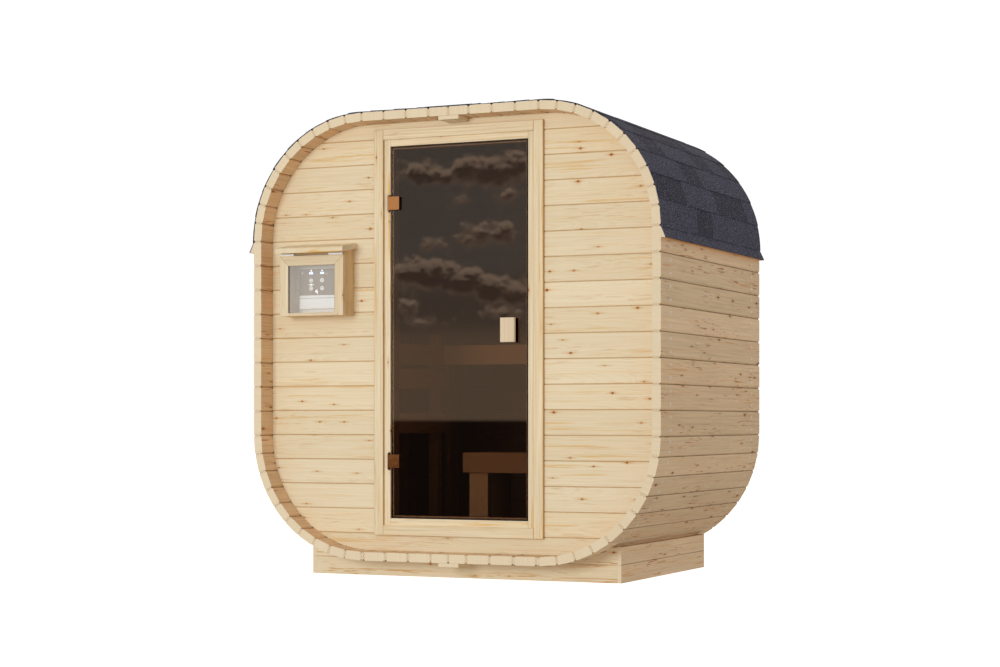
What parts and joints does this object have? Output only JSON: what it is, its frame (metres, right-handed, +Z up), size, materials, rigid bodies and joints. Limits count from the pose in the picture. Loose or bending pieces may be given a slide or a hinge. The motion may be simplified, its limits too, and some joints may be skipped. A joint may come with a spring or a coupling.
{
  "type": "barrel sauna",
  "caption": "Free-standing outdoor barrel sauna with a rounded-square section, a hinged full-glass door, inside benches, a shingled roof and a control box on the front wall.",
  "frame": {"origin": "on the ground, in the middle of the overall length and width", "axes": "+X to the right seen from the front, +Y to the back, +Z up; the door faces -Y"},
  "size_m": [2.194, 1.533, 2.2545],
  "materials": {
    "spruce_staves": "planed pale spruce with small knots",
    "spruce_boards": "planed pale spruce with small knots",
    "spruce_trim": "planed pale spruce, nearly free of knots",
    "spruce_plinth": "planed pale spruce",
    "bench_wood": "smooth planed bench wood",
    "box_wood": "planed pale spruce",
    "handle_wood": "smooth sanded pale wood",
    "roof_felt": "mineral-surfaced bitumen shingles, dark blue-grey",
    "bronze_glass": "toughened bronze-tinted glass",
    "clear_glass": "clear glass",
    "bronze": "satin bronze",
    "black_rubber": "black rubber",
    "black_posts": "black plastic",
    "white_hinges": "white zinc finish",
    "control_casing": "white plastic",
    "control_screen": "grey touch panel"
  },
  "bodies": {
    "sauna": {"shell_left": "spruce_staves", "shell_right": "spruce_staves", "shell_top": "spruce_staves", "shell_bottom": "spruce_staves", "shell_corner_top_left": "spruce_staves", "shell_corner_top_right": "spruce_staves", "shell_corner_bottom_left": "spruce_staves", "shell_corner_bottom_right": "spruce_staves", "front_wall_left": "spruce_boards", "front_wall_right": "spruce_boards", "front_wall_over_door": "spruce_boards", "front_wall_under_door": "spruce_boards", "back_wall": "spruce_boards", "ceiling_battens": "spruce_boards", "floor_batten": "spruce_boards", "door_frame_left": "spruce_trim", "door_frame_right": "spruce_trim", "door_frame_head": "spruce_trim", "door_frame_sill": "spruce_trim", "door_casing": "spruce_trim", "eave_board_left": "spruce_trim", "eave_board_right": "spruce_trim", "plinth_front": "spruce_plinth", "plinth_back": "spruce_plinth", "plinth_left": "spruce_plinth", "plinth_right": "spruce_plinth", "upper_bench_seat": "bench_wood", "upper_bench_frame": "bench_wood", "upper_bench_legs": "bench_wood", "lower_bench_seat": "bench_wood", "lower_bench_frame": "bench_wood", "lower_bench_legs": "bench_wood", "guard_posts": "bench_wood", "guard_rails": "bench_wood", "control_box": "box_wood", "control_box_roof": "box_wood", "roof_felt_left": "roof_felt", "roof_felt_right": "roof_felt", "roof_felt_top": "roof_felt", "door_hinge_leaves": "bronze", "box_hinge_leaves": "white_hinges", "control_body": "control_casing", "control_screen": "control_screen"},
    "door": {"door_glass": "bronze_glass", "door_hinge_clamps": "bronze", "door_hinge_gaskets": "black_rubber", "door_handles": "handle_wood", "door_handle_posts": "black_posts"},
    "box_door": {"box_door_frame": "box_wood", "box_door_glass": "clear_glass", "box_door_hinges": "white_hinges"}
  },
  "joints": [
    {"name": "door_hinge", "type": "hinge", "parent": "sauna", "child": "door", "pos_m": [-0.37, -0.628, 1.1865], "axis": [0, 0, -1], "range_deg": [0, 100]},
    {"name": "box_door_hinge", "type": "hinge", "parent": "sauna", "child": "box_door", "pos_m": [-0.743, -0.7325, 1.572], "axis": [-1, 0, 0], "range_deg": [0, 85]}
  ]
}
